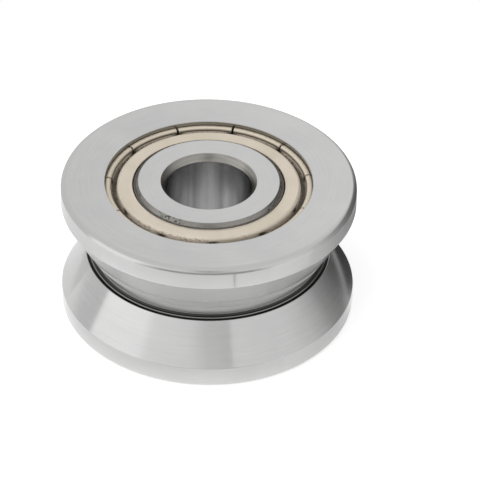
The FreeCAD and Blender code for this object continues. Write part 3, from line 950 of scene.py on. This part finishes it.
# Grey cards, one standing and the others on the table: the groove and the rim show those on the
# right as a fade to black, and the rim's corner shows the one in front as a fine dark line.
# Each is drawn as a line from one point to another, then swept round
cardSteps = 48
cards = [
    {
        "name": "standing card", "start": (44.0, 0.0), "end": (44.0, 17.0),
        "tones": (
            (-24, 0.76), (-13, 0.58), (-4, 0.38), (7, 0.26), (17, 0.16), (26, 0.1), (50, 0.1), (70, 0.4),
            (95, 0.76), (165, 0.76),
        ),
    },
    {
        "name": "table card", "start": (28.0, 0.2), "end": (43.0, 0.2),
        "tones": (
            (-45, 1.0), (-31, 0.85), (-20, 0.73), (-8, 0.63), (3, 0.51), (15, 0.44), (26, 0.40), (37, 0.40),
            (70, 0.5), (90, 0.8),
        ),
    },
    {
        "name": "foot card", "start": (38.8, 0.4), "end": (44.0, 0.4),
        "tones": ((12, 0.3), (20, 0.16), (26, 0.1), (60, 0.1)),
    },
    {
        "name": "front card", "start": (51.0, 0.2), "end": (75.0, 0.2),
        "tones": ((-135, 0.5), (-120, 0.3), (-60, 0.3), (-50, 0.5)),
    },
    {
        "name": "bright card", "start": (30.0, 0.3), "end": (39.5, 0.3),
        "tones": ((-160, 1.1), (-150, 1.35), (-120, 1.35), (-100, 1.29), (-60, 1.29), (-45, 1.1)),
    },
    {
        "name": "rim card", "start": (20.6, 0.3), "end": (26.0, 0.3),
        "tones": ((-55, 0.98), (-40, 0.85), (-23, 0.74), (-12, 0.78), (-2, 1.0)),
    },
    {
        "name": "edge card", "start": (21.2, 0.3), "end": (33.2, 0.3),
        "tones": ((10, 0.2), (18, 0.08), (30, 0.04), (60, 0.04)),
    },
]


def makeCard(size):
    fromTurn, toTurn = size["tones"][0][0], size["tones"][-1][0]
    piece = drawSection(size["name"], size["start"], [size["end"]])
    bpy.ops.mesh.select_all(action="SELECT")
    sweep = -math.radians(toTurn - fromTurn)
    bpy.ops.mesh.spin(steps=cardSteps, angle=sweep, center=(0, 0, 0), axis=(0, 0, 1))
    bpy.ops.mesh.select_all(action="SELECT")
    bpy.ops.mesh.remove_doubles(threshold=sameSpot * mm)
    bpy.ops.transform.rotate(value=-math.radians(fromTurn), orient_axis="Z", center_override=(0, 0, 0))
    bpy.ops.object.mode_set(mode="OBJECT")
    material, tree, shader = startMaterial("grey card")
    side = addNode(tree, "MapRange", {0: readPlace(tree)["turn"], 1: -math.pi, 2: math.pi})
    side = addNode(tree, "ValToRGB", {0: side})
    fillRamp(side.node, size["tones"])
    piece.data.materials.append(material)
    mirroredOnly(piece, tree, shader, side)


# Straight strips on the paper: a narrow dark seam in front, which the rim shows as one thin
# line, and a light one below the bore, which its back wall shows
strips = [
    {"name": "seam", "turn": -74.0, "from": 41.0, "to": 50.0, "width": 0.7, "lift": 0.4, "tone": 0.35},
    {"name": "bore strip", "turn": 90.0, "from": -6.0, "to": 6.0, "width": 5.0, "lift": 0.2, "tone": 1.5},
]


def makeStrip(size):
    piece = startSection(size["name"], size["from"], size["lift"])
    length = size["to"] - size["from"]
    bpy.ops.mesh.extrude_region_move(TRANSFORM_OT_translate={"value": (length * mm, 0, 0)})
    bpy.ops.mesh.select_all(action="SELECT")
    bpy.ops.mesh.extrude_region_move(TRANSFORM_OT_translate={"value": (0, size["width"] * mm, 0)})
    bpy.ops.mesh.select_all(action="SELECT")
    bpy.ops.transform.translate(value=(0, -size["width"] / 2 * mm, 0))
    bpy.ops.transform.rotate(value=-math.radians(size["turn"]), orient_axis="Z", center_override=(0, 0, 0))
    bpy.ops.object.mode_set(mode="OBJECT")
    material, tree, shader = startMaterial("paper strip")
    piece.data.materials.append(material)
    mirroredOnly(piece, tree, shader, size["tone"])


# Camera: stands in front of the roller and looks down on it through a long lens
camera = {
    "lookDown": 36.72,
    "distance": 497.2,
    "lens": 266.6,
    "roll": 0.83,
    "frame": 480,           # pixels, as the two values below it
    "targetAcross": 208.04,
    "targetDown": 238.95,
    "clip": (0.01, 20.0),   # metres
}


def makeCamera():
    data = bpy.data.cameras.new("camera")
    data.lens = camera["lens"]
    data.shift_x = (camera["frame"] / 2 - camera["targetAcross"]) / camera["frame"]
    data.shift_y = (camera["targetDown"] - camera["frame"] / 2) / camera["frame"]
    data.clip_start, data.clip_end = camera["clip"]
    item = bpy.data.objects.new("camera", data)
    bpy.context.scene.collection.objects.link(item)
    down = math.radians(camera["lookDown"])
    back = Vector((0, -math.cos(down), math.sin(down)))
    tilt = Matrix.Rotation(math.pi / 2 - down, 4, "X")
    roll = Matrix.Rotation(math.radians(camera["roll"]), 4, "Z")
    item.rotation_euler = (tilt @ roll).to_euler()
    item.location = axisUp * halfWidth * mm + back * camera["distance"] * mm
    bpy.context.scene.camera = item


makeTable()
makeWorld()
makeLamp()
for card in cards:
    makeCard(card)
for strip in strips:
    makeStrip(strip)
makeCamera()
bpy.context.scene.view_settings.view_transform = "Standard"
print("studio and camera ready")
